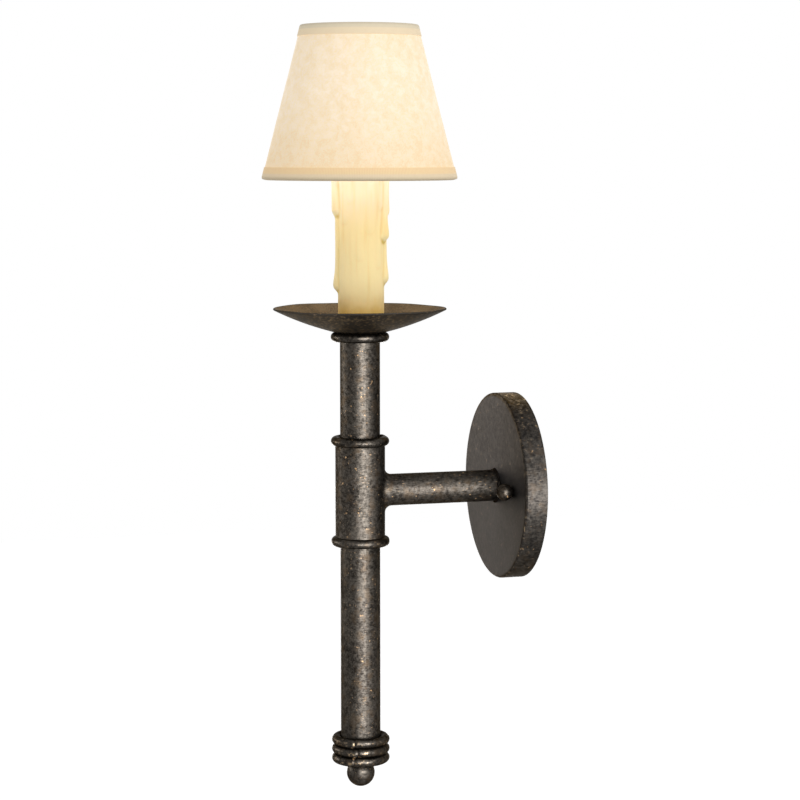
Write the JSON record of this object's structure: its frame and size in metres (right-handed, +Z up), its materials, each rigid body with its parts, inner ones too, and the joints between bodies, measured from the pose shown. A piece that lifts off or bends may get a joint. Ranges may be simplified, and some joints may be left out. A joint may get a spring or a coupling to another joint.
{
  "type": "candle wall light",
  "caption": "Wall light with a round wall plate, one straight pipe arm, an upright pipe post with rod rings and a ball finial, a drip tray, a dripping candle sleeve and a clip-on tapered shade.",
  "frame": {"origin": "on the wall plane, midway between the crossbar's two box slots, behind the arm's axis", "axes": "+Z up along the post, -Y out of the wall into the room, +X to the right of someone facing the wall"},
  "size_m": [0.13, 0.1755, 0.5107],
  "materials": {
    "bronze": "aged dark bronze, mottled with brassy flecks, satin",
    "zinc_steel": "zinc plated",
    "brass": "brass plated, satin",
    "phenolic": "moulded black phenolic",
    "wax": "ivory resin made to look like dripping wax",
    "parchment": "cloudy parchment",
    "trim_tape": "ribbed tape",
    "clear_glass": "clear",
    "black_glass": "black base glass",
    "solder": "soldered tip",
    "lamp_wire": "drawn wire",
    "tungsten": "fine coiled wire",
    "black_insulation": "insulated lead",
    "white_insulation": "insulated lead",
    "copper": "bare copper",
    "green_screw": "green chromate",
    "connector_plastic": "moulded plastic"
  },
  "bodies": {
    "fixture": {"backplate": "bronze", "crossbar": "zinc_steel", "mounting_studs": "zinc_steel", "stud_nuts": "zinc_steel", "ground_screw": "green_screw", "arm_tube": "bronze", "arm_bushing": "zinc_steel", "arm_nipple": "zinc_steel", "arm_lock_washer": "zinc_steel", "arm_locknut": "zinc_steel", "tee_sleeve": "bronze", "post_tube": "bronze", "tray_ring": "bronze", "tee_upper_ring": "bronze", "tee_lower_ring": "bronze", "foot_ring_upper": "bronze", "foot_ring_middle": "bronze", "foot_ring_lower": "bronze", "post_top_plug": "zinc_steel", "post_foot_plug": "bronze", "finial_stud": "zinc_steel", "ball_finial": "bronze", "drip_tray": "bronze", "candle_nipple": "zinc_steel", "candle_seat_washer": "zinc_steel", "tray_locknut": "zinc_steel", "socket_bracket": "zinc_steel", "socket_body": "phenolic", "socket_shell": "brass", "socket_contact": "brass", "socket_rivet": "zinc_steel", "lead_hot": "black_insulation", "lead_neutral": "white_insulation", "ground_wire": "copper", "wire_connectors": "connector_plastic"},
    "left_nut": {"ball_nut_left": "bronze"},
    "right_nut": {"ball_nut_right": "bronze"},
    "candle": {"candle_sleeve": "wax"},
    "bulb": {"bulb_glass": "clear_glass", "bulb_base": "brass", "bulb_insulator": "black_glass", "bulb_button": "solder", "bulb_stem": "clear_glass", "bulb_supports": "lamp_wire", "bulb_filament": "tungsten"},
    "bulb_clip": {"clip_rivet": "brass", "clip_loops": "brass"},
    "shade": {"shade_panel": "parchment", "shade_bottom_trim": "trim_tape", "shade_top_trim": "trim_tape", "shade_bottom_wire": "zinc_steel", "shade_top_wire": "zinc_steel", "spider_washer": "brass", "spider_arms": "brass"}
  },
  "joints": [
    {"name": "left_nut_turn", "type": "hinge", "parent": "fixture", "child": "left_nut", "pos_m": [-0.03492, -0.0195, 0], "axis": [0, -1, 0], "range_deg": [0, 2520]},
    {"name": "right_nut_turn", "type": "hinge", "parent": "fixture", "child": "right_nut", "pos_m": [0.03492, -0.0195, 0], "axis": [0, -1, 0], "range_deg": [0, 2520]},
    {"name": "candle_turn", "type": "hinge", "parent": "fixture", "child": "candle", "pos_m": [0, -0.1105, 0], "axis": [0, 0, 1], "continuous": true},
    {"name": "bulb_turn", "type": "hinge", "parent": "fixture", "child": "bulb", "pos_m": [0, -0.1105, 0], "axis": [0, 0, 1], "range_deg": [0, 1440]},
    {"name": "shade_lift", "type": "slide", "parent": "bulb", "child": "bulb_clip", "axis": [0, 0, 1], "range_m": [0, 0.06]},
    {"name": "shade_turn", "type": "hinge", "parent": "bulb_clip", "child": "shade", "pos_m": [0, -0.1105, 0], "axis": [0, 0, 1], "continuous": true}
  ]
}
